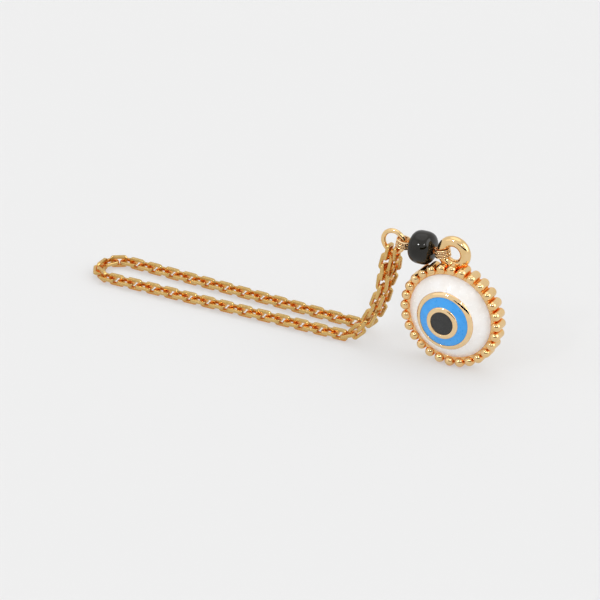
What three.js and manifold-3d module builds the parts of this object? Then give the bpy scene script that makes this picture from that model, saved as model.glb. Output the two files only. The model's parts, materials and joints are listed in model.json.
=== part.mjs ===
// Evil eye charm: an enamelled medallion with a beaded rim, a bead connector and a doubled cable chain.
// Millimetres, +Z up. +X runs along the chain towards the medallion, and the medallion faces -Y.
import * as THREE from "three";
import { mergeVertices } from "three/addons/utils/BufferGeometryUtils.js";
import Module from "manifold-3d";

const wasm = await Module();
wasm.setup();

// ---------- driving dimensions ----------

// Cable chain: every second link stands upright and the ones between lie flat.
const LINK_WIRE = 0.8;
const LINK_WIDTH = 3.0;
const LINK_CHAMFER = 0.5;
const LINK_EDGE = 0.14;
const PITCH = 2.52;
const LINK_PLAY = 0.1;
const LINK_LENGTH = PITCH + LINK_PLAY + 2 * LINK_WIRE;
const SOLDER_LAP = 0.03;
const STRAND_LINKS = 36;
const TOP_LINKS = 4;
const BEND_LINKS = 7;
const BEND_OVERTURN = 13;

// The doubled chain lies on the floor and then hangs up to the jump ring in a catenary.
const HANG_RADIUS = 4.5;
const HALF_GAP_AT_RISE = 1.9;
const HALF_GAP_AT_FLOOR = 3.5;
const HALF_GAP_AT_BEND = 4.83;
const FLOOR_LINK = 11;
const TOP_X_OFFSETS = [0.97, 0.97, 0.93, 0.5, 0];

// Medallion: depths are measured forwards from the plane of the rim beads' front centres.
const RIM_BEADS = 28;
const RIM_BEAD_R = 1.2;
const RIM_CIRCLE_R = 11.75;
const RIM_BEAD_CORE = 2.3;
const RIM_WALL_R = 11.5;
const WHITE_R = 10.45;
const OUTER_CELL_R = 7.25;
const BLUE_R = 6.12;
const INNER_CELL_R = 3.98;
const PUPIL_R = 2.84;
const DOME_R = 14;
const DOME_CENTRE = -9.19;
const CELL_PROUD = 0.12;
const WHITE_FLOOR = -0.6;
const BLUE_FLOOR = 2.2;
const PUPIL_FLOOR = 3.2;
const BACK_DEPTH = -3.2;
const BACK_CHAMFER = 0.6;
const SEAM = 0.02;
const ROUND_SEGMENTS = 2 * RIM_BEADS;

// Bail: a round ring soldered to the back half of the rim, a little towards the chain.
const BAIL_R = 2.95;
const BAIL_WIRE_R = 1.28;
const BAIL_LIFT = 15;
const BAIL_TURN = 2.2;

// Connector: two wide bands on the ends of a pin, with a bead between them.
const AXIS_Z = 27.5;
const BAND = { inner: 1.62, outer: 1.94, height: 2.0 };
const BAND_FALL = 9;
const SMALL_BAND_X = 33.45;
const SMALL_BAND = { inner: 1.45, outer: 1.85, height: 1.9 };
const SMALL_BAND_TILT = 12;
const PIN_R = 0.45;
const PIN_GAP = 0.12;
const BEAD_X = 38.45;
const BEAD_R = 3.95;
const BEAD_HALF_LENGTH = 3.0;
const BEAD_BORE_R = 0.55;
const BEAD_SQUARENESS = 3;

// Jump ring: hangs in the small band and carries both ends of the chain.
const JUMP_R = 2.65;
const JUMP_WIRE_R = 0.58;
const JUMP_ANGLE = 5;
const RING_PLAY = 0.34;

const RING_STEPS = 28;
const RING_SECTION = 8;
const BAND_STEPS = 24;
const BEAD_PROFILE_STEPS = 10;
const PIN_SIDES = 12;
const RIM_BEAD_CAP_STEPS = 2;
const RIM_BEAD_SIDES = 8;
const WHITE_STEPS = 4;
const BLUE_STEPS = 2;

const MEDALLION_X = 47.05;
const MEDALLION_Y = -RIM_BEAD_CORE;
const MEDALLION_Z = RIM_CIRCLE_R + RIM_BEAD_R;
const bailAcross = -BAIL_LIFT * Math.sin(THREE.MathUtils.degToRad(BAIL_TURN));
const bailUp = BAIL_LIFT * Math.cos(THREE.MathUtils.degToRad(BAIL_TURN));

// ---------- materials ----------

const gold = new THREE.MeshStandardMaterial({ color: 0xe1aa5f, roughness: 0.22, metalness: 1 });
const white = new THREE.MeshStandardMaterial({ color: 0xf3efeb, roughness: 0.2, metalness: 0 });
const blue = new THREE.MeshStandardMaterial({ color: 0x4f9fe4, roughness: 0.15, metalness: 0 });
const charcoal = new THREE.MeshStandardMaterial({ color: 0x454544, roughness: 0.45, metalness: 0 });
const black = new THREE.MeshStandardMaterial({ color: 0x23221f, roughness: 0.12, metalness: 0 });

// ---------- helpers ----------

const radians = THREE.MathUtils.degToRad;

function solid(geometry) {
  const bare = new THREE.BufferGeometry();
  const source = geometry.index ? geometry.toNonIndexed() : geometry;
  bare.setAttribute("position", source.getAttribute("position"));
  const merged = mergeVertices(bare, 1e-4);
  return new wasm.Manifold(
    new wasm.Mesh({
      numProp: 3,
      vertProperties: merged.attributes.position.array,
      triVerts: new Uint32Array(merged.index.array),
    }),
  );
}

function geometryOf(manifold) {
  const mesh = manifold.getMesh();
  const geometry = new THREE.BufferGeometry();
  geometry.setAttribute("position", new THREE.BufferAttribute(mesh.vertProperties, 3));
  geometry.setIndex(new THREE.BufferAttribute(mesh.triVerts, 1));
  geometry.computeVertexNormals();
  return geometry;
}

function piece(name, geometry, material, parent) {
  const mesh = new THREE.Mesh(geometry, material);
  mesh.name = name;
  parent.add(mesh);
  return mesh;
}

// A ring of round wire in the XZ plane.
function wireRing(ringR, wireR) {
  return new THREE.TorusGeometry(ringR, wireR, RING_SECTION, RING_STEPS).rotateX(Math.PI / 2);
}

// ---------- chain ----------

// One link in its own plane: X along the chain, Y across the link, Z through the wire.
function linkGeometry() {
  const outer = new THREE.Shape(linkOutline(0));
  outer.holes.push(new THREE.Path(linkOutline(LINK_WIRE)));
  const options = {
    depth: LINK_WIRE - 2 * LINK_EDGE,
    bevelThickness: LINK_EDGE,
    bevelSize: LINK_EDGE,
    bevelOffset: -LINK_EDGE,
    bevelSegments: 1,
  };
  return new THREE.ExtrudeGeometry(outer, options).translate(0, 0, -options.depth / 2);
}

// The link's outline, a rectangle with cut corners, moved in by an inset.
function linkOutline(inset) {
  const x = LINK_LENGTH / 2 - inset;
  const y = LINK_WIDTH / 2 - inset;
  const cut = LINK_CHAMFER - inset * (2 - Math.SQRT2);
  return [
    [x, y - cut],
    [x - cut, y],
    [cut - x, y],
    [-x, y - cut],
    [-x, cut - y],
    [cut - x, -y],
    [x - cut, -y],
    [x, cut - y],
  ].map(([along, across]) => new THREE.Vector2(along, across));
}

// A link from one joint point to the next, with its side as near as it can be to the one given. Its bars
// lap its partner's in the same node, and stay clear of the link in the next node.
function placedLink([start, end], sideways, upright, lapsStart, lapsEnd) {
  const along = end.clone().sub(start).normalize();
  const side = sideways.clone().addScaledVector(along, -sideways.dot(along)).normalize();
  const lift = new THREE.Vector3().crossVectors(along, side);
  const lapShift = LINK_LENGTH / 2 - LINK_WIRE + SOLDER_LAP - PITCH / 2;
  const shift = lapShift * (Number(lapsStart) - Number(lapsEnd));
  const centre = start.clone().add(end).multiplyScalar(0.5).addScaledVector(along, shift);
  const across = upright ? lift : side.clone().negate();
  const through = upright ? side.clone().negate() : lift.clone().negate();
  const place = new THREE.Matrix4().makeBasis(along, across, through).setPosition(centre);
  return linkGeometry().applyMatrix4(place);
}

// The middle line of the doubled chain, by its length from the jump ring.
const jumpCentre = new THREE.Vector3(
  SMALL_BAND_X - JUMP_R * Math.cos(radians(JUMP_ANGLE)),
  0,
  AXIS_Z - JUMP_R * Math.sin(radians(JUMP_ANGLE)),
);
const firstReach = PITCH - (LINK_LENGTH / 2 - LINK_WIRE + SOLDER_LAP);
const ringDrop = Math.sqrt(JUMP_R ** 2 - TOP_X_OFFSETS[0] ** 2);
const firstLinkDrop = ringDrop + LINK_LENGTH / 2 - LINK_WIRE - JUMP_WIRE_R - RING_PLAY;
const topZ = jumpCentre.z - firstLinkDrop + firstReach;
const hangLength = Math.sqrt((topZ - LINK_WIDTH / 2 + HANG_RADIUS) ** 2 - HANG_RADIUS ** 2);
const touchX = jumpCentre.x - HANG_RADIUS * Math.asinh(hangLength / HANG_RADIUS);

function middleLine(lengthFromRing) {
  const rise = hangLength - lengthFromRing;
  if (rise < 0) return new THREE.Vector3(touchX + rise, 0, LINK_WIDTH / 2);
  return new THREE.Vector3(
    touchX + HANG_RADIUS * Math.asinh(rise / HANG_RADIUS),
    0,
    LINK_WIDTH / 2 + Math.hypot(rise, HANG_RADIUS) - HANG_RADIUS,
  );
}

// Half the distance between the two strands at a joint.
function halfGap(joint) {
  if (joint <= TOP_LINKS) return (HALF_GAP_AT_RISE * joint) / TOP_LINKS;
  if (joint <= FLOOR_LINK) {
    const share = (joint - TOP_LINKS) / (FLOOR_LINK - TOP_LINKS);
    return THREE.MathUtils.lerp(HALF_GAP_AT_RISE, HALF_GAP_AT_FLOOR, share);
  }
  const share = (joint - FLOOR_LINK) / (STRAND_LINKS - FLOOR_LINK);
  return THREE.MathUtils.lerp(HALF_GAP_AT_FLOOR, HALF_GAP_AT_BEND, share);
}

// A joint point of one strand: side is -1 in front, +1 behind.
function strandJoint(side, joint) {
  const point = middleLine(joint * PITCH);
  if (joint < TOP_X_OFFSETS.length) point.x += side * TOP_X_OFFSETS[joint];
  point.y = side * halfGap(joint);
  return point;
}

// Links come in soldered pairs, a flat one and then an upright one.
function linkPair(side, pair) {
  const [start, middle, end] = [-2, -1, 0].map((step) => strandJoint(side, 2 * pair + step));
  const sideways = new THREE.Vector3(0, -1, 0);
  const flat = solid(placedLink([start, middle], sideways, false, false, true));
  const upright = solid(placedLink([middle, end], sideways, true, true, false));
  return geometryOf(flat.add(upright));
}

// The joint points of the bend, from the back strand round to the front one.
function bendJoints() {
  const points = [strandJoint(1, STRAND_LINKS)];
  const turn = (180 + 2 * BEND_OVERTURN) / BEND_LINKS;
  for (let link = 0; link < BEND_LINKS; link++) {
    const heading = radians(turn * (link + 0.5) - BEND_OVERTURN);
    const step = new THREE.Vector3(-Math.cos(heading), -Math.sin(heading), 0).multiplyScalar(PITCH);
    points.push(points[link].clone().add(step));
  }
  return points;
}

function addChain(parent) {
  const pairs = STRAND_LINKS / 2;
  for (const [label, side] of [
    ["front", -1],
    ["back", 1],
  ]) {
    for (let pair = 1; pair <= pairs; pair++) {
      const name = "chain_" + label + "_" + String(pair).padStart(2, "0");
      piece(name, linkPair(side, pair), gold, parent);
    }
  }
  const joints = bendJoints();
  const bendLink = (link, ...turns) => {
    const ends = [joints[link], joints[link + 1]];
    const along = ends[1].clone().sub(ends[0]);
    return solid(placedLink(ends, new THREE.Vector3(-along.y, along.x, 0), ...turns));
  };
  for (let link = 0; link < BEND_LINKS; link += 2) {
    const paired = link + 1 < BEND_LINKS;
    let made = bendLink(link, false, false, paired);
    if (paired) made = made.add(bendLink(link + 1, true, true, false));
    piece("chain_bend_" + (link / 2 + 1), geometryOf(made), gold, parent);
  }
}

// ---------- medallion ----------

// A body turned about the medallion's axis, from radius and forward depth pairs.
function turned(profile) {
  const points = profile.map(([radius, depth]) => new THREE.Vector2(radius, depth));
  return new THREE.LatheGeometry(points, ROUND_SEGMENTS).rotateX(Math.PI);
}

function domeDepth(radius) {
  return DOME_CENTRE + Math.sqrt(DOME_R ** 2 - radius ** 2);
}

// Points of the dome between two radii, outer one first.
function domeArc(outerR, innerR, steps, raise = 0) {
  const points = [];
  for (let i = 0; i <= steps; i++) {
    const radius = THREE.MathUtils.lerp(outerR, innerR, i / steps);
    points.push([radius, domeDepth(radius) + raise]);
  }
  return points;
}

// The rim with its long beads, grown by a clearance where another piece is cut to fit it.
function rimBody(profile, clearance) {
  let body = solid(turned(profile));
  const radius = RIM_BEAD_R + clearance;
  const bead = new THREE.CapsuleGeometry(radius, RIM_BEAD_CORE, RIM_BEAD_CAP_STEPS, RIM_BEAD_SIDES, 1);
  bead.translate(0, RIM_BEAD_CORE / 2, RIM_CIRCLE_R);
  for (let i = 0; i < RIM_BEADS; i++) {
    const turn = (i / RIM_BEADS) * 2 * Math.PI;
    body = body.add(solid(bead.clone().rotateY(turn)));
  }
  return body;
}

function castingProfile() {
  return [
    [0, BACK_DEPTH],
    [RIM_WALL_R - BACK_CHAMFER, BACK_DEPTH],
    [RIM_WALL_R, BACK_DEPTH + BACK_CHAMFER],
    [RIM_WALL_R, domeDepth(WHITE_R)],
    [WHITE_R, domeDepth(WHITE_R)],
    [WHITE_R, WHITE_FLOOR],
    [OUTER_CELL_R, WHITE_FLOOR],
    ...domeArc(OUTER_CELL_R, BLUE_R, 1, CELL_PROUD),
    [BLUE_R, BLUE_FLOOR],
    [INNER_CELL_R, BLUE_FLOOR],
    ...domeArc(INNER_CELL_R, PUPIL_R, 1, CELL_PROUD),
    [PUPIL_R, PUPIL_FLOOR],
    [0, PUPIL_FLOOR],
  ];
}

function addMedallion(parent) {
  const group = new THREE.Group();
  group.position.set(MEDALLION_X, MEDALLION_Y, MEDALLION_Z);
  parent.add(group);

  piece("medallion_casting", geometryOf(rimBody(castingProfile(), 0)), gold, group);

  const whiteProfile = [
    [OUTER_CELL_R + SEAM, WHITE_FLOOR + SEAM],
    [WHITE_R - SEAM, WHITE_FLOOR + SEAM],
    ...domeArc(WHITE_R - SEAM, OUTER_CELL_R + SEAM, WHITE_STEPS),
  ];
  whiteProfile.push(whiteProfile[0]);
  piece("white_enamel", turned(whiteProfile), white, group);

  const blueProfile = [
    [INNER_CELL_R + SEAM, BLUE_FLOOR + SEAM],
    [BLUE_R - SEAM, BLUE_FLOOR + SEAM],
    ...domeArc(BLUE_R - SEAM, INNER_CELL_R + SEAM, BLUE_STEPS),
  ];
  blueProfile.push(blueProfile[0]);
  piece("blue_enamel", turned(blueProfile), blue, group);

  const pupilProfile = [
    [0, PUPIL_FLOOR + SEAM],
    [PUPIL_R - SEAM, PUPIL_FLOOR + SEAM],
    ...domeArc(PUPIL_R - SEAM, 0, BLUE_STEPS),
  ];
  piece("pupil_enamel", turned(pupilProfile), charcoal, group);

  const grown = [
    [0, BACK_DEPTH - SEAM],
    [RIM_WALL_R + SEAM, BACK_DEPTH - SEAM],
    [RIM_WALL_R + SEAM, domeDepth(WHITE_R) + SEAM],
    [0, domeDepth(WHITE_R) + SEAM],
  ];
  const ring = wireRing(BAIL_R, BAIL_WIRE_R).translate(bailAcross, RIM_BEAD_CORE, bailUp);
  piece("medallion_bail", geometryOf(solid(ring).subtract(rimBody(grown, SEAM))), gold, group);
}

// ---------- connector and jump ring ----------

function bandGeometry({ inner, outer, height }) {
  const half = height / 2;
  const profile = [
    [inner, -half],
    [outer, -half],
    [outer, half],
    [inner, half],
    [inner, -half],
  ].map(([radius, z]) => new THREE.Vector2(radius, z));
  return new THREE.LatheGeometry(profile, BAND_STEPS).rotateX(Math.PI / 2);
}

function beadGeometry() {
  const power = 2 / BEAD_SQUARENESS;
  const boreAt = Math.acos((BEAD_BORE_R / BEAD_R) ** (1 / power));
  const profile = [];
  for (let i = 0; i <= BEAD_PROFILE_STEPS; i++) {
    const angle = THREE.MathUtils.lerp(-boreAt, boreAt, i / BEAD_PROFILE_STEPS);
    const along = Math.sign(angle) * Math.abs(Math.sin(angle)) ** power;
    profile.push(new THREE.Vector2(BEAD_R * Math.cos(angle) ** power, BEAD_HALF_LENGTH * along));
  }
  const end = profile[BEAD_PROFILE_STEPS].y;
  profile.push(new THREE.Vector2(BEAD_BORE_R, end));
  profile.push(new THREE.Vector2(BEAD_BORE_R, -end));
  profile.push(profile[0].clone());
  return new THREE.LatheGeometry(profile, BAND_STEPS).rotateZ(-Math.PI / 2);
}

function addConnector(parent) {
  const group = new THREE.Group();
  group.position.z = AXIS_Z;
  parent.add(group);
  const fall = radians(BAND_FALL);
  const bandX = MEDALLION_X + bailAcross - BAIL_R * Math.cos(fall);
  const large = piece("large_band_ring", bandGeometry(BAND), gold, group);
  large.position.set(bandX, 0, MEDALLION_Z + bailUp - BAIL_R * Math.sin(fall) - AXIS_Z);
  large.rotation.y = -fall;
  const small = piece("small_band_ring", bandGeometry(SMALL_BAND), gold, group);
  small.position.x = SMALL_BAND_X;
  small.rotation.y = radians(SMALL_BAND_TILT);

  const from = SMALL_BAND_X + SMALL_BAND.outer / Math.cos(radians(SMALL_BAND_TILT)) + PIN_GAP;
  const to = bandX - BAND.outer / Math.cos(fall) - PIN_GAP;
  const pin = new THREE.CylinderGeometry(PIN_R, PIN_R, to - from, PIN_SIDES).rotateZ(Math.PI / 2);
  piece("bead_pin", pin, gold, group).position.x = (from + to) / 2;
  piece("black_bead", beadGeometry(), black, group).position.x = BEAD_X;
}

function addJumpRing(parent) {
  piece("jump_ring", wireRing(JUMP_R, JUMP_WIRE_R), gold, parent).position.copy(jumpCentre);
}

// ---------- assembly ----------

const model = new THREE.Group();
addMedallion(model);
addConnector(model);
addJumpRing(model);
addChain(model);

// The origin is under the middle of the bounding box, on the floor.
const box = new THREE.Box3().setFromObject(model, true);
const middle = box.getCenter(new THREE.Vector3());
model.position.set(-middle.x, -middle.y, -box.min.z);

// Pivot points in the finished frame, for whoever animates the model.
model.userData.pivots = {
  bail: new THREE.Vector3(MEDALLION_X + bailAcross, 0, MEDALLION_Z + bailUp).add(model.position),
  bead: new THREE.Vector3(BEAD_X, 0, AXIS_Z).add(model.position),
  smallBand: new THREE.Vector3(SMALL_BAND_X, 0, AXIS_Z).add(model.position),
  jumpRing: jumpCentre.clone().add(model.position),
  chain: [],
};
for (let joint = TOP_LINKS; joint <= STRAND_LINKS; joint += 2) {
  model.userData.pivots.chain.push(middleLine(joint * PITCH).add(model.position));
}

export default model;
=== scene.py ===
"""Evil eye charm: an enamelled medallion with a beaded rim, a bead connector and a doubled cable chain.

Shapes are worked out in millimetres and become metres where a mesh is made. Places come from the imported
frame: +X runs along the chain towards the medallion, the medallion faces -Y, and Z is up."""

import json
import math
from collections import namedtuple

import bpy
from mathutils import Matrix, Vector

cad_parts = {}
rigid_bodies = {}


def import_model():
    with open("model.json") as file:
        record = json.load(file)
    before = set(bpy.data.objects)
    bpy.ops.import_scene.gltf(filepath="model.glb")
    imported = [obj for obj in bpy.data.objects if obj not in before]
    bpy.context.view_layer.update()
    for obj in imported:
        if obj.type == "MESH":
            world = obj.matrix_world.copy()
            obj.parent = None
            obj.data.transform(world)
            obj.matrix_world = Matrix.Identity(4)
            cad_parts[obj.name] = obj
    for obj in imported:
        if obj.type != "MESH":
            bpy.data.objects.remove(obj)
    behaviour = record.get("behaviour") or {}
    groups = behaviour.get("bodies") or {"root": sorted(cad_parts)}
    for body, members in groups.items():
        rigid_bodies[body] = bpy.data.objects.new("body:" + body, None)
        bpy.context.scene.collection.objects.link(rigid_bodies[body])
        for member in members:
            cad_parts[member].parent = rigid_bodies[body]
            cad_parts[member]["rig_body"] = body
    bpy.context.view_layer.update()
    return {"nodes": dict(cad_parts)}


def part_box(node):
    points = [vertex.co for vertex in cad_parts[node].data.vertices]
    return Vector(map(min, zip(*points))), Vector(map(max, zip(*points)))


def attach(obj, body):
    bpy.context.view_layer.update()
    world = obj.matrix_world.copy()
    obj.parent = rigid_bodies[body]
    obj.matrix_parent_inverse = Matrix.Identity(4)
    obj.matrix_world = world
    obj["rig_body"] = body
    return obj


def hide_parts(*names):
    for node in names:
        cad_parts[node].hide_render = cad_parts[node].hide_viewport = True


MM = 0.001

# ---------- driving dimensions, in millimetres ----------

# Cable chain: every second link stands upright and the ones between lie flat. The play is the slack at a
# joint, and the lap is how far the two links of one CAD node run into each other.
LINK_WIRE = 0.8
LINK_WIDTH = 3.0
LINK_CORNER = 0.85
LINK_EDGE = 0.14
PITCH = 2.52
LINK_PLAY = 0.1
LINK_LENGTH = PITCH + LINK_PLAY + 2 * LINK_WIRE
LINK_LAP = 0.03
STRAND_LINKS = 36
TOP_LINKS = 4
BEND_LINKS = 7
BEND_OVERTURN = 13

# The doubled chain lies on the floor and then hangs up to the jump ring in a catenary. The offsets take each
# strand's first joints off the chain's middle line, forwards for one strand and back for the other.
HANG_RADIUS = 4.5
HALF_GAP_AT_RISE = 1.9
HALF_GAP_AT_FLOOR = 3.5
HALF_GAP_AT_BEND = 4.83
FLOOR_LINK = 11
TOP_X_OFFSETS = (0.97, 0.97, 0.93, 0.5, 0)

# Medallion: depths are measured forwards from the plane of the rim beads' front centres.
RIM_BEADS = 28
RIM_BEAD_R = 1.2
RIM_CIRCLE_R = 11.75
RIM_BEAD_CORE = 2.3
RIM_WALL_R = 11.5
WHITE_R = 10.45
OUTER_CELL_R = 7.25
BLUE_R = 6.12
INNER_CELL_R = 3.98
PUPIL_R = 2.84
DOME_R = 14
DOME_CENTRE = -9.19
CELL_CROWN = 0.3
CELL_FOOT = 1.2
CELL_FULLNESS = 0.7
ENAMEL_DEPTH = 1.0
MENISCUS = 0.06
MENISCUS_REACH = 0.16
BACK_DEPTH = -3.2
BACK_ROUND = 0.6
BACK_GROOVE_R = 9.9
BACK_GROOVE = 0.16
LIP_ROUND = 0.2
SEAT_ROUND = 0.1
SEAT_PLAY = 0.02
BAIL_R = 2.95
BAIL_WIRE_R = 1.28
BAIL_LIFT = 15
BAIL_TURN = 2.2

# Connector and jump ring.
BAND = {"inner": 1.62, "outer": 1.94, "height": 2.0, "grains": 18}
BAND_FALL = 9
SMALL_BAND = {"inner": 1.45, "outer": 1.85, "height": 1.9, "grains": 17}
SMALL_BAND_TILT = 12
GRAIN_R = 0.26
CHANNEL = 0.26
BAND_EDGE = 0.08
RIDGE_SWEEP = 60
BEAD_R = 3.95
BEAD_HALF_LENGTH = 3.0
BEAD_BORE_R = 0.55
BEAD_BORE_EDGE = 0.1
BEAD_SQUARENESS = 3
PIN_R = 0.45
PIN_END_R = 0.8
PIN_END_LENGTH = 0.2
PIN_TAPER = 0.2
JUMP_R = 2.65
JUMP_WIRE_R = 0.58
RING_PLAY = 0.34

# The camera: its angles round the object, what it looks at from the eye's own place, its lens, and what it
# sees between, in metres.
CAMERA_AZIMUTH = 28.97
CAMERA_ELEVATION = 27.2
CAMERA_DISTANCE = 912
CAMERA_TARGET_FROM_EYE = Vector((-46.45, 12.12, -12.95))
CAMERA_LENS = 227.8
CAMERA_CLIP = (0.01, 100)

# Floor and background light.
FLOOR_HALF = 4000
FLOOR_GREY = (0.36, 0.36, 0.36, 1)
FLOOR_GLOW = 0.42
WORLD_BASE = 0.885
WHITE_LIGHT = (1, 1, 1, 1)

# Mesh fineness, and the angle in degrees from which an edge is drawn sharp.
ROUND_SEGMENTS = 168
WIRE_SEGMENTS = 96
WIRE_SECTION = 28
BEAD_SEGMENTS = 24
GRAIN_SEGMENTS = 10
CORNER_STEPS = 7
SHARP_ANGLE = 40
ON_AXIS = 1e-6

# The signs of x and y in each quarter of a turn, anticlockwise.
QUARTERS = ((1, 1), (-1, 1), (-1, -1), (1, -1))

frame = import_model()


# ---------- meshes ----------


def object_from(name, shells, material, place=None, sharp=SHARP_ANGLE):
    """An object from shells, each (vertices in mm, faces), with smooth shading up to the sharp angle."""
    mesh = bpy.data.meshes.new(name)
    vertices, faces = [], []
    for shell_vertices, shell_faces in shells:
        start = len(vertices)
        vertices += [Vector(v) * MM for v in shell_vertices]
        faces += [[start + i for i in face] for face in shell_faces]
    mesh.from_pydata(vertices, [], faces)
    mesh.validate()
    mesh.materials.append(material)
    mesh.shade_smooth()
    mesh.set_sharp_from_angle(angle=math.radians(sharp))
    return placed_copy(name, mesh, place)


def placed_copy(name, mesh, place=None):
    """An object of that mesh, in the scene, at a place whose distances are in millimetres."""
    made = bpy.data.objects.new(name, mesh)
    bpy.context.scene.collection.objects.link(made)
    if place is not None:
        made.matrix_world = Matrix.LocRotScale(place.to_translation() * MM, place.to_quaternion(), None)
    return made


def moved(shell, place):
    """The shell with its vertices taken to a place."""
    vertices, faces = shell
    return [place @ Vector(v) for v in vertices], faces


def revolved(profile, segments, closed=False):
    """A profile of (radius, height) points turned about Z. It runs so that the outside is on its right."""
    vertices, rings, faces = [], [], []
    for radius, height in profile:
        start = len(vertices)
        count = 1 if radius < ON_AXIS else segments
        for i in range(count):
            turn = 2 * math.pi * i / segments
            vertices.append((radius * math.cos(turn), radius * math.sin(turn), height))
        rings.append(range(start, start + count))
    following = rings[1:] + rings[:1] if closed else rings[1:]
    for ring, after in zip(rings, following):
        for i in range(segments):
            j = (i + 1) % segments
            corners = [ring[i % len(ring)], ring[j % len(ring)], after[j % len(after)], after[i % len(after)]]
            faces.append(list(dict.fromkeys(corners)))
    return vertices, faces


def arc(centre, radius, start, end, steps):
    """Points (x, y) of an arc, with angles in degrees."""
    points = []
    for i in range(steps + 1):
        angle = math.radians(start + (end - start) * i / steps)
        points.append((centre[0] + radius * math.cos(angle), centre[1] + radius * math.sin(angle)))
    return points


def middle_of(node):
    """The middle of a CAD node's box, in millimetres."""
    low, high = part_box(node)
    return (low + high) / (2 * MM)


def wire_ring(ring_r, wire_r):
    """A ring of round wire about Z."""
    section = arc((ring_r, 0), wire_r, 0, 360, steps=WIRE_SECTION)[:-1]
    return revolved(section, WIRE_SEGMENTS, closed=True)


# ---------- chain ----------

# The first links hang from the jump ring, and the chain falls in a catenary to where it meets the floor.
jump_centre = middle_of("jump_ring")
first_reach = PITCH - (LINK_LENGTH / 2 - LINK_WIRE + LINK_LAP)
ring_drop = math.sqrt(JUMP_R**2 - TOP_X_OFFSETS[0] ** 2)
first_link_drop = ring_drop + LINK_LENGTH / 2 - LINK_WIRE - JUMP_WIRE_R - RING_PLAY
top_z = jump_centre.z - first_link_drop + first_reach
hang_length = math.sqrt((top_z - LINK_WIDTH / 2 + HANG_RADIUS) ** 2 - HANG_RADIUS**2)
touch_x = jump_centre.x - HANG_RADIUS * math.asinh(hang_length / HANG_RADIUS)
chain_y = jump_centre.y


def link_shell():
    """One link of square wire with bevelled edges. X runs along the chain, and Z through the wire."""
    half = LINK_WIRE / 2
    section = []
    for quarter, (sign_a, sign_b) in enumerate(QUARTERS):
        centre = (sign_a * (half - LINK_EDGE), sign_b * (half - LINK_EDGE))
        section += arc(centre, LINK_EDGE, quarter * 90, quarter * 90 + 90, steps=1)
    path = []
    corner_x = LINK_LENGTH / 2 - LINK_CORNER
    corner_y = LINK_WIDTH / 2 - LINK_CORNER
    for quarter, (sign_x, sign_y) in enumerate(QUARTERS):
        centre = Vector((sign_x * corner_x, sign_y * corner_y, 0))
        for step in range(CORNER_STEPS + 1):
            turn = math.radians((quarter + step / CORNER_STEPS) * 90)
            outward = Vector((math.cos(turn), math.sin(turn), 0))
            path.append((centre + outward * (LINK_CORNER - half), outward))
    count = len(section)
    vertices = [base + outward * a + Vector((0, 0, b)) for base, outward in path for a, b in section]
    faces = []
    for i in range(len(path)):
        start, after = i * count, (i + 1) % len(path) * count
        for k in range(count):
            m = (k + 1) % count
            faces.append([start + k, after + k, after + m, start + m])
    return vertices, faces


def middle_line(length_from_ring):
    """A point of the doubled chain's middle line, by its length from the jump ring."""
    rise = hang_length - length_from_ring
    if rise < 0:
        return Vector((touch_x + rise, chain_y, LINK_WIDTH / 2))
    sag = math.hypot(rise, HANG_RADIUS) - HANG_RADIUS
    reach = HANG_RADIUS * math.asinh(rise / HANG_RADIUS)
    return Vector((touch_x + reach, chain_y, LINK_WIDTH / 2 + sag))


def half_gap(joint):
    """Half the distance between the two strands at a joint."""
    if joint <= TOP_LINKS:
        return HALF_GAP_AT_RISE * joint / TOP_LINKS
    if joint <= FLOOR_LINK:
        share = (joint - TOP_LINKS) / (FLOOR_LINK - TOP_LINKS)
        return HALF_GAP_AT_RISE + (HALF_GAP_AT_FLOOR - HALF_GAP_AT_RISE) * share
    share = (joint - FLOOR_LINK) / (STRAND_LINKS - FLOOR_LINK)
    return HALF_GAP_AT_FLOOR + (HALF_GAP_AT_BEND - HALF_GAP_AT_FLOOR) * share


def strand_joint(side, joint):
    """A joint of one strand: side is -1 in front and +1 behind."""
    point = middle_line(joint * PITCH)
    if joint < len(TOP_X_OFFSETS):
        point.x += side * TOP_X_OFFSETS[joint]
    point.y += side * half_gap(joint)
    return point


def link_place(start, end, sideways, upright, laps_start, laps_end):
    """A link's matrix, in mm, from one joint point to the next. It laps its partner in the same CAD node."""
    along = (end - start).normalized()
    side = (sideways - along * sideways.dot(along)).normalized()
    lift = along.cross(side)
    shift = (LINK_LENGTH / 2 - LINK_WIRE + LINK_LAP - PITCH / 2) * (laps_start - laps_end)
    centre = (start + end) / 2 + along * shift
    across = lift if upright else -side
    through = -side if upright else -lift
    turn = Matrix((along, across, through)).transposed().to_4x4()
    return Matrix.Translation(centre) @ turn


def chain_links():
    """(name, CAD node, matrix) of every link."""
    links = []
    for label, side in (("front", -1), ("back", 1)):
        for link in range(1, STRAND_LINKS + 1):
            upright = link % 2 == 0
            ends = [strand_joint(side, joint) for joint in (link - 1, link)]
            place = link_place(*ends, Vector((0, -1, 0)), upright, upright, not upright)
            links.append((f"link_{label}_{link:02d}", f"chain_{label}_{(link + 1) // 2:02d}", place))
    joint = strand_joint(1, STRAND_LINKS)
    turn = (180 + 2 * BEND_OVERTURN) / BEND_LINKS
    for link in range(BEND_LINKS):
        heading = math.radians(turn * (link + 0.5) - BEND_OVERTURN)
        after = joint - Vector((math.cos(heading), math.sin(heading), 0)) * PITCH
        sideways = Vector((math.sin(heading), -math.cos(heading), 0))
        upright = link % 2 == 1
        paired = upright or link + 1 < BEND_LINKS
        place = link_place(joint, after, sideways, upright, upright, paired and not upright)
        links.append((f"link_bend_{link + 1}", f"chain_bend_{link // 2 + 1}", place))
        joint = after
    return links


# ---------- medallion ----------


def dome_depth(radius):
    """The depth of the medallion's domed front at a radius."""
    return DOME_CENTRE + math.sqrt(DOME_R**2 - radius**2)


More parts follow.
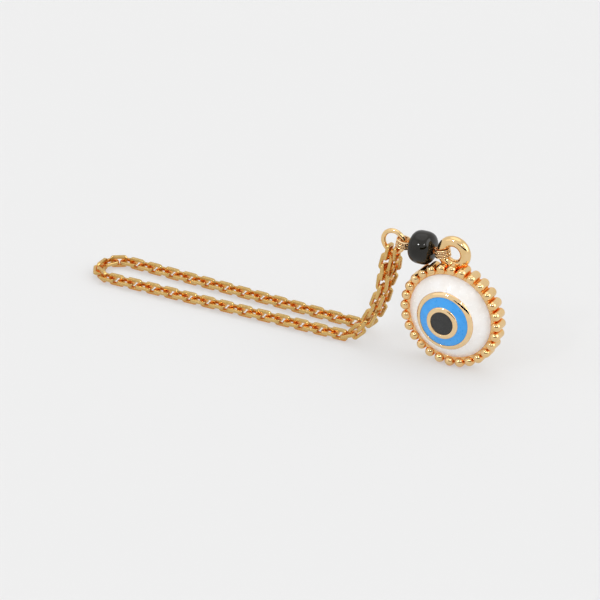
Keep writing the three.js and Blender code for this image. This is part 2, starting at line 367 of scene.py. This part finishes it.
def enamel_profile(outer, inner, steps):
    """A closed enamel ring or disc, whose surface climbs a little where it meets the gold."""
    points = []
    for i in range(steps + 1):
        radius = outer + (inner - outer) * i / steps
        climb = math.exp(-(outer - radius) / MENISCUS_REACH)
        if inner > 0:
            climb += math.exp(-(radius - inner) / MENISCUS_REACH)
        points.append((radius, dome_depth(radius) + MENISCUS * climb))
    points.append((inner, dome_depth(inner) - ENAMEL_DEPTH))
    points.append((outer, dome_depth(outer) - ENAMEL_DEPTH))
    return points


def cell_profile(outer, inner, steps=14):
    """A raised gold ring with a rounded crown, closed, from its outer foot over the top."""
    points = [(outer, dome_depth(outer) - CELL_FOOT)]
    for i in range(steps + 1):
        turn = math.pi * i / steps
        radius = (outer + inner) / 2 + (outer - inner) / 2 * math.cos(turn)
        crown = CELL_CROWN * math.sin(turn) ** CELL_FULLNESS
        points.append((radius, dome_depth(radius) + crown + MENISCUS / 2))
    points.append((inner, dome_depth(inner) - CELL_FOOT))
    return points


def casting_profile():
    """The casting's wall, back and seat, from the middle of the back round to the middle of the seat."""
    lip = dome_depth(WHITE_R)
    back = [
        (0, BACK_DEPTH),
        (BACK_GROOVE_R - BACK_GROOVE, BACK_DEPTH),
        (BACK_GROOVE_R, BACK_DEPTH + BACK_GROOVE),
        (BACK_GROOVE_R + BACK_GROOVE, BACK_DEPTH),
    ]
    corner = arc((RIM_WALL_R - BACK_ROUND, BACK_DEPTH + BACK_ROUND), BACK_ROUND, -90, 0, steps=6)
    front = arc((RIM_WALL_R - LIP_ROUND, lip + SEAT_ROUND - LIP_ROUND), LIP_ROUND, 0, 90, steps=4)
    inside = arc((WHITE_R + SEAT_PLAY + SEAT_ROUND, lip), SEAT_ROUND, 90, 180, steps=4)
    return [*back, *corner, *front, *inside, (WHITE_R, lip - ENAMEL_DEPTH), (0, lip - ENAMEL_DEPTH)]


def rim_bead():
    """A long rim bead with round ends, along Z, from its front centre backwards."""
    front = arc((0, 0), RIM_BEAD_R, 90, 0, steps=8)
    back = arc((0, -RIM_BEAD_CORE), RIM_BEAD_R, 0, -90, steps=8)
    return revolved(list(reversed([(max(r, 0), z) for r, z in front + back])), BEAD_SEGMENTS)


# ---------- connector ----------


def band_shells(inner, outer, height, grains):
    """A wide band about Z: three round ridges, with two staggered rows of grains between them."""
    half = height / 2
    floor = outer - CHANNEL
    ridge = (height - 4 * GRAIN_R) / 6
    row = ridge + GRAIN_R
    profile = [(inner, half - BAND_EDGE), (inner, BAND_EDGE - half), (inner + BAND_EDGE, -half)]
    for middle in (ridge - half, 0, half - ridge):
        crest = arc((outer - ridge, middle), ridge, -RIDGE_SWEEP, RIDGE_SWEEP, steps=6)
        profile += [(floor, middle - ridge), *crest, (floor, middle + ridge)]
    profile += [(inner + BAND_EDGE, half)]
    shells = [revolved(profile, WIRE_SEGMENTS, closed=True)]
    ball = revolved([(max(r, 0), z) for r, z in arc((0, 0), GRAIN_R, -90, 90, steps=6)], GRAIN_SEGMENTS)
    for side in (-1, 1):
        for i in range(grains):
            turn = 2 * math.pi * (i + side / 4) / grains
            outward = Vector((math.cos(turn), math.sin(turn), 0))
            place = outward * (outer - GRAIN_R) + Vector((0, 0, side * row))
            shells.append(moved(ball, Matrix.Translation(place)))
    return shells


def bead_profile(steps=22):
    """The black bead: a barrel whose side is a superellipse, closed round its bore."""
    power = 2 / BEAD_SQUARENESS
    bore_at = math.acos((BEAD_BORE_R / BEAD_R) ** (1 / power))
    points = []
    for i in range(steps + 1):
        angle = -bore_at + 2 * bore_at * i / steps
        along = math.copysign(abs(math.sin(angle)) ** power, angle)
        points.append((BEAD_R * math.cos(angle) ** power, BEAD_HALF_LENGTH * along))
    end = points[-1][1]
    return [*points, (BEAD_BORE_R, end - BEAD_BORE_EDGE), (BEAD_BORE_R, BEAD_BORE_EDGE - end)]


def pin_profile(half):
    """The pin, a straight wire that widens at both ends."""
    taper_end = PIN_END_LENGTH + PIN_TAPER - half
    lower = [(0, -half), (PIN_END_R, -half), (PIN_END_R, PIN_END_LENGTH - half), (PIN_R, taper_end)]
    return lower + [(radius, -height) for radius, height in reversed(lower)]


# ---------- materials ----------

# The Mix node's sockets when it mixes colours.
MIX_FACTOR, MIX_FIRST, MIX_SECOND = 0, 6, 7
MIX_RESULT = 2

# Samples for the painted shade between pieces, which is read from ambient occlusion.
PAINTED_SHADE_SAMPLES = 6


class Surface:
    """A principled material whose colour, roughness and bump come from node textures in object space."""

    def __init__(self, name, metallic=0.0, specular=0.5, coat=0.0, coat_roughness=0.05):
        self.material = bpy.data.materials.new(name)
        self.material.use_nodes = True
        self.tree = self.material.node_tree
        self.shader = self.tree.nodes["Principled BSDF"]
        self.shader.inputs["Metallic"].default_value = metallic
        self.shader.inputs["Specular IOR Level"].default_value = specular
        self.shader.inputs["Coat Weight"].default_value = coat
        self.shader.inputs["Coat Roughness"].default_value = coat_roughness
        self.space = self.tree.nodes.new("ShaderNodeTexCoord").outputs["Object"]

    def add(self, kind, **inputs):
        """A node with its inputs linked or set. An underscore in a name stands for a space."""
        node = self.tree.nodes.new(kind)
        for name, value in inputs.items():
            socket = node.inputs[name.replace("_", " ")]
            if isinstance(value, bpy.types.NodeSocket):
                self.tree.links.new(value, socket)
            else:
                socket.default_value = value
        return node

    def noise(self, feature_mm, detail=3.0, stretch=(1, 1, 1)):
        """Noise from 0 to 1 with features of about that many millimetres."""
        mapping = self.add("ShaderNodeMapping", Vector=self.space, Scale=stretch)
        texture = self.add("ShaderNodeTexNoise", Vector=mapping.outputs["Vector"], Detail=detail)
        texture.inputs["Scale"].default_value = 1 / (feature_mm * MM)
        return texture.outputs["Fac"]

    def ranged(self, value, low, high, start=0.3, end=0.7):
        """The value taken from start..end to low..high. The default spreads a noise over its whole range."""
        node = self.add("ShaderNodeMapRange", Value=value)
        for name, number in (("From Min", start), ("From Max", end), ("To Min", low), ("To Max", high)):
            node.inputs[name].default_value = number
        return node.outputs["Result"]

    def mixed(self, factor, first, second):
        """The first colour where the factor is 0 and the second where it is 1."""
        node = self.tree.nodes.new("ShaderNodeMix")
        node.data_type = "RGBA"
        for index, value in ((MIX_FACTOR, factor), (MIX_FIRST, first), (MIX_SECOND, second)):
            if isinstance(value, bpy.types.NodeSocket):
                self.tree.links.new(value, node.inputs[index])
            else:
                node.inputs[index].default_value = value
        return node.outputs[MIX_RESULT]

    def painted_shade(self, reach_mm):
        """The mask of a painted shade: 0 in the open and 1 deep between pieces, where shade falls."""
        shade = self.add("ShaderNodeAmbientOcclusion")
        shade.samples = PAINTED_SHADE_SAMPLES
        shade.inputs["Distance"].default_value = reach_mm * MM
        return self.ranged(shade.outputs["AO"], low=1.0, high=0.0, start=0.35, end=0.95)

    def bump(self, height, depth_mm, below=None):
        """A normal bent by a height, on top of another normal if one is given."""
        node = self.add("ShaderNodeBump", Height=height)
        node.inputs["Distance"].default_value = depth_mm * MM
        if below is not None:
            self.tree.links.new(below, node.inputs["Normal"])
        return node.outputs["Normal"]

    def finish(self, colour, roughness, normal):
        """Links the three to the shader, and gives the material."""
        self.tree.links.new(colour, self.shader.inputs["Base Color"])
        self.tree.links.new(roughness, self.shader.inputs["Roughness"])
        self.tree.links.new(normal, self.shader.inputs["Normal"])
        return self.material


# Painted shade: the redder, darker gold painted between pieces where they shade each other.
PAINTED_CREVICE_SHADE = (0.88, 0.33, 0.035, 1)


def gold_plate(name, first, second, wear, roughness, painted_shade_reach_mm=0.9, painted_shade_colour=PAINTED_CREVICE_SHADE):
    """Polished gold plate: slow tint changes, fine hairlines, and painted shade, a redder and darker gold
    between the pieces where shade falls.
    """
    gold = Surface(name, metallic=1.0)
    tint = gold.mixed(gold.ranged(gold.noise(feature_mm=2.2), 0, 1), first, second)
    # Painted shade: the tint turns to the shade colour where pieces shade each other.
    colour = gold.mixed(gold.painted_shade(painted_shade_reach_mm), tint, painted_shade_colour)
    polish = gold.ranged(gold.noise(feature_mm=0.5, detail=4.0), *roughness)
    hairlines = gold.noise(feature_mm=0.09, detail=2.0, stretch=(1, 9, 9))
    ripple = gold.noise(feature_mm=0.8, detail=2.0)
    scratched = gold.bump(hairlines, depth_mm=0.002 * wear)
    normal = gold.bump(ripple, depth_mm=0.02 * wear, below=scratched)
    return gold.finish(colour, polish, normal)


def enamel(name, first, second, cloud_mm, roughness, coat, coat_roughness=0.05, specular=0.5, speckle=None):
    """Fired enamel or glass: cloudy colour under a clear glaze that is slightly wavy."""
    glaze = Surface(name, specular=specular, coat=coat, coat_roughness=coat_roughness)
    colour = glaze.mixed(glaze.ranged(glaze.noise(cloud_mm), 0, 1), first, second)
    if speckle is not None:
        specks = glaze.ranged(glaze.noise(feature_mm=0.12, detail=1.0), 0, 1, start=0.62, end=0.7)
        colour = glaze.mixed(specks, colour, speckle)
    polish = glaze.ranged(glaze.noise(feature_mm=0.7), *roughness)
    normal = glaze.bump(glaze.noise(feature_mm=1.6, detail=2.0), depth_mm=0.03)
    return glaze.finish(colour, polish, normal)


OLIVE_GOLD = (0.58, 0.37, 0.12, 1)
TAN_GOLD = (0.70, 0.48, 0.19, 1)
PALE_GOLD = (0.86, 0.61, 0.32, 1)
DEEP_GOLD = (0.80, 0.54, 0.24, 1)
PEACH_GOLD = (0.90, 0.67, 0.40, 1)
# Painted shade: dark brown painted in the band's grooves, where shade falls.
PAINTED_GROOVE_SHADE = (0.38, 0.15, 0.03, 1)
WARM_WHITE = (0.88, 0.84, 0.80, 1)
PEARL_WHITE = (0.94, 0.92, 0.90, 1)
SKY_BLUE = (0.028, 0.32, 0.84, 1)
PALE_BLUE = (0.04, 0.38, 0.90, 1)
CHARCOAL = (0.025, 0.025, 0.025, 1)
SOFT_CHARCOAL = (0.035, 0.035, 0.034, 1)
SPECK_GREY = (0.065, 0.065, 0.065, 1)
BLACK = (0.006, 0.005, 0.003, 1)
WARM_BLACK = (0.012, 0.010, 0.007, 1)

# Each gold below has painted shade between its pieces.
chain_gold = gold_plate("chain_gold", OLIVE_GOLD, TAN_GOLD, wear=1.0, roughness=(0.2, 0.3))
cast_gold = gold_plate("cast_gold", DEEP_GOLD, PALE_GOLD, wear=1.0, roughness=(0.04, 0.09))
wire_gold = gold_plate("wire_gold", DEEP_GOLD, PALE_GOLD, wear=0.5, roughness=(0.03, 0.07))
cell_gold = gold_plate("cell_gold", PALE_GOLD, PEACH_GOLD, wear=0.3, roughness=(0.03, 0.06))
# The band's grooves and grains get a dark brown painted shade.
band_gold = gold_plate(
    "band_gold",
    PALE_GOLD,
    PEACH_GOLD,
    wear=0.2,
    roughness=(0.05, 0.1),
    painted_shade_reach_mm=0.22,
    painted_shade_colour=PAINTED_GROOVE_SHADE,
)
white_glaze = enamel("white_glaze", WARM_WHITE, PEARL_WHITE, cloud_mm=3.0, roughness=(0.16, 0.3), coat=0.6)
blue_glaze = enamel("blue_glaze", SKY_BLUE, PALE_BLUE, cloud_mm=2.0, roughness=(0.25, 0.4), coat=0.35)
pupil_glaze = enamel(
    "pupil_glaze",
    CHARCOAL,
    SOFT_CHARCOAL,
    cloud_mm=1.0,
    roughness=(0.45, 0.6),
    coat=0.0,
    specular=0.4,
    speckle=SPECK_GREY,
)
black_glass = enamel(
    "black_glass",
    BLACK,
    WARM_BLACK,
    cloud_mm=1.5,
    roughness=(0.25, 0.4),
    coat=0.75,
    coat_roughness=0.015,
    specular=0.0,
)


# ---------- pieces on their bodies ----------


def fit(piece, node):
    """The piece rides with the CAD node's body and stands for the node."""
    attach(piece, frame["nodes"][node]["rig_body"])
    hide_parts(node)


# The eye is the middle of the medallion's front, level with the rim beads' front centres.
rim_low, rim_high = (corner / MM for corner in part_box("medallion_casting"))
bead_back = rim_high.y - RIM_BEAD_R
eye = Vector(((rim_low.x + rim_high.x) / 2, bead_back - RIM_BEAD_CORE, (rim_low.z + rim_high.z) / 2))
facing = Matrix.Translation(eye) @ Matrix.Rotation(math.radians(90), 4, "X")


def face_ring(name, profile, material):
    """A ring on the medallion's front, from its closed profile."""
    return object_from(name, [revolved(profile, ROUND_SEGMENTS, closed=True)], material, facing)


body = object_from("casting", [revolved(casting_profile(), ROUND_SEGMENTS)], cast_gold, facing, sharp=50)
beads = []
for i in range(RIM_BEADS):
    turn = Matrix.Rotation(2 * math.pi * i / RIM_BEADS, 4, "Z")
    beads.append(moved(rim_bead(), turn @ Matrix.Translation(Vector((0, RIM_CIRCLE_R, 0)))))
rim = object_from("rim_beads", beads, cast_gold, facing)
outer_cell = face_ring("outer_cell_ring", cell_profile(OUTER_CELL_R, BLUE_R), cell_gold)
inner_cell = face_ring("inner_cell_ring", cell_profile(INNER_CELL_R, PUPIL_R), cell_gold)
for piece in (body, rim, outer_cell, inner_cell):
    fit(piece, "medallion_casting")

white = face_ring("white_dome", enamel_profile(WHITE_R, OUTER_CELL_R, steps=24), white_glaze)
fit(white, "white_enamel")
blue = face_ring("blue_ring", enamel_profile(BLUE_R, INNER_CELL_R, steps=16), blue_glaze)
fit(blue, "blue_enamel")
pupil_shell = revolved(enamel_profile(PUPIL_R, 0, steps=16), ROUND_SEGMENTS)
pupil = object_from("pupil", [pupil_shell], pupil_glaze, facing)
fit(pupil, "pupil_enamel")

upright_ring = Matrix.Rotation(math.radians(90), 4, "X")
bail_turn = math.radians(BAIL_TURN)
bail_centre = eye + Vector((-BAIL_LIFT * math.sin(bail_turn), RIM_BEAD_CORE, BAIL_LIFT * math.cos(bail_turn)))
bail_place = Matrix.Translation(bail_centre) @ upright_ring
bail = object_from("bail", [wire_ring(BAIL_R, BAIL_WIRE_R)], wire_gold, bail_place)
fit(bail, "medallion_bail")

fall = Matrix.Rotation(math.radians(-BAND_FALL), 4, "Y")
band_place = Matrix.Translation(middle_of("large_band_ring")) @ fall
band = object_from("large_band", band_shells(**BAND), band_gold, band_place)
fit(band, "large_band_ring")
tilt = Matrix.Rotation(math.radians(SMALL_BAND_TILT), 4, "Y")
small_place = Matrix.Translation(middle_of("small_band_ring")) @ tilt
small_band = object_from("small_band", band_shells(**SMALL_BAND), band_gold, small_place)
fit(small_band, "small_band_ring")

along_x = Matrix.Rotation(math.radians(90), 4, "Y")
pin_low, pin_high = (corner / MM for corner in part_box("bead_pin"))
pin_shell = revolved(pin_profile((pin_high.x - pin_low.x) / 2), WIRE_SECTION)
pin_place = Matrix.Translation(middle_of("bead_pin")) @ along_x
pin = object_from("pin", [pin_shell], wire_gold, pin_place)
fit(pin, "bead_pin")
bead_place = Matrix.Translation(middle_of("black_bead")) @ along_x
bead_shell = revolved(bead_profile(), WIRE_SEGMENTS, closed=True)
bead = object_from("glass_bead", [bead_shell], black_glass, bead_place)
fit(bead, "black_bead")

ring_place = Matrix.Translation(jump_centre) @ upright_ring
ring = object_from("ring", [wire_ring(JUMP_R, JUMP_WIRE_R)], wire_gold, ring_place)
fit(ring, "jump_ring")

pattern = object_from("link_pattern", [link_shell()], chain_gold)
link_mesh = pattern.data
bpy.data.objects.remove(pattern)
for name, node, place in chain_links():
    fit(placed_copy(name, link_mesh, place), node)


# ---------- floor, light and camera ----------


Window = namedtuple("Window", "azimuth elevation spread edge strength")

# Soft boxes, the small lights that glint on the bead, and the dark flags that streak the round wires.
SOFT_BOXES = [
    Window(azimuth=-135, elevation=76, spread=20, edge=14, strength=0.6),
    Window(azimuth=100, elevation=30, spread=16, edge=12, strength=1.9),
    Window(azimuth=-50, elevation=35, spread=12, edge=8, strength=0.3),
]
GLINT_LIGHTS = [
    Window(azimuth=CAMERA_AZIMUTH - 52, elevation=38, spread=1.5, edge=1, strength=60),
    Window(azimuth=CAMERA_AZIMUTH + 10, elevation=43, spread=1.5, edge=1, strength=60),
]
DARK_FLAGS = [
    Window(azimuth=CAMERA_AZIMUTH + step, elevation=17, spread=6, edge=2, strength=-0.9)
    for step in range(-28, 45, 12)
]


def towards(azimuth, elevation):
    a, e = math.radians(azimuth), math.radians(elevation)
    return Vector((math.sin(a) * math.cos(e), -math.cos(a) * math.cos(e), math.sin(e)))


def world_light(base, windows):
    """Light from all round, with windows that add to it or take from it. Their angles are in degrees."""
    world = bpy.data.worlds.new("studio")
    bpy.context.scene.world = world
    world.use_nodes = True
    nodes, links = world.node_tree.nodes, world.node_tree.links
    direction = nodes.new("ShaderNodeTexCoord").outputs["Generated"]
    total = nodes.new("ShaderNodeValue").outputs[0]
    total.default_value = base
    for window in windows:
        dot = nodes.new("ShaderNodeVectorMath")
        dot.operation = "DOT_PRODUCT"
        dot.inputs[1].default_value = towards(window.azimuth, window.elevation)
        links.new(direction, dot.inputs[0])
        glow = nodes.new("ShaderNodeMapRange")
        glow.interpolation_type = "SMOOTHSTEP"
        glow.inputs["From Min"].default_value = math.cos(math.radians(window.spread + window.edge))
        glow.inputs["From Max"].default_value = math.cos(math.radians(window.spread))
        glow.inputs["To Max"].default_value = window.strength
        links.new(dot.outputs["Value"], glow.inputs["Value"])
        add = nodes.new("ShaderNodeMath")
        add.operation = "ADD"
        links.new(total, add.inputs[0])
        links.new(glow.outputs["Result"], add.inputs[1])
        total = add.outputs[0]
    links.new(total, nodes["Background"].inputs["Strength"])
    nodes["Background"].inputs["Color"].default_value = WHITE_LIGHT


floor_corners = [(x * FLOOR_HALF, y * FLOOR_HALF, 0) for x, y in ((-1, -1), (1, -1), (1, 1), (-1, 1))]
paper = Surface("floor_paper", specular=0.0)
paper.shader.inputs["Emission Color"].default_value = WHITE_LIGHT
paper.shader.inputs["Emission Strength"].default_value = FLOOR_GLOW
paper_colour = paper.mixed(paper.noise(feature_mm=1.0), FLOOR_GREY, FLOOR_GREY)
paper_roughness = paper.ranged(paper.noise(feature_mm=2.0), 0.95, 1.0)
paper_grain = paper.bump(paper.noise(feature_mm=0.2), depth_mm=0.0)
white_paper = paper.finish(paper_colour, paper_roughness, paper_grain)
floor = object_from("floor", [(floor_corners, [[0, 1, 2, 3]])], white_paper)

world_light(WORLD_BASE, SOFT_BOXES + GLINT_LIGHTS + DARK_FLAGS)

camera = bpy.data.objects.new("camera", bpy.data.cameras.new("camera"))
bpy.context.scene.collection.objects.link(camera)
back = towards(CAMERA_AZIMUTH, CAMERA_ELEVATION)
camera.location = (eye + CAMERA_TARGET_FROM_EYE + back * CAMERA_DISTANCE) * MM
camera.rotation_euler = back.to_track_quat("Z", "Y").to_euler()
camera.data.lens = CAMERA_LENS
camera.data.clip_start, camera.data.clip_end = CAMERA_CLIP
bpy.context.scene.camera = camera
bpy.context.scene.view_settings.view_transform = "Standard"
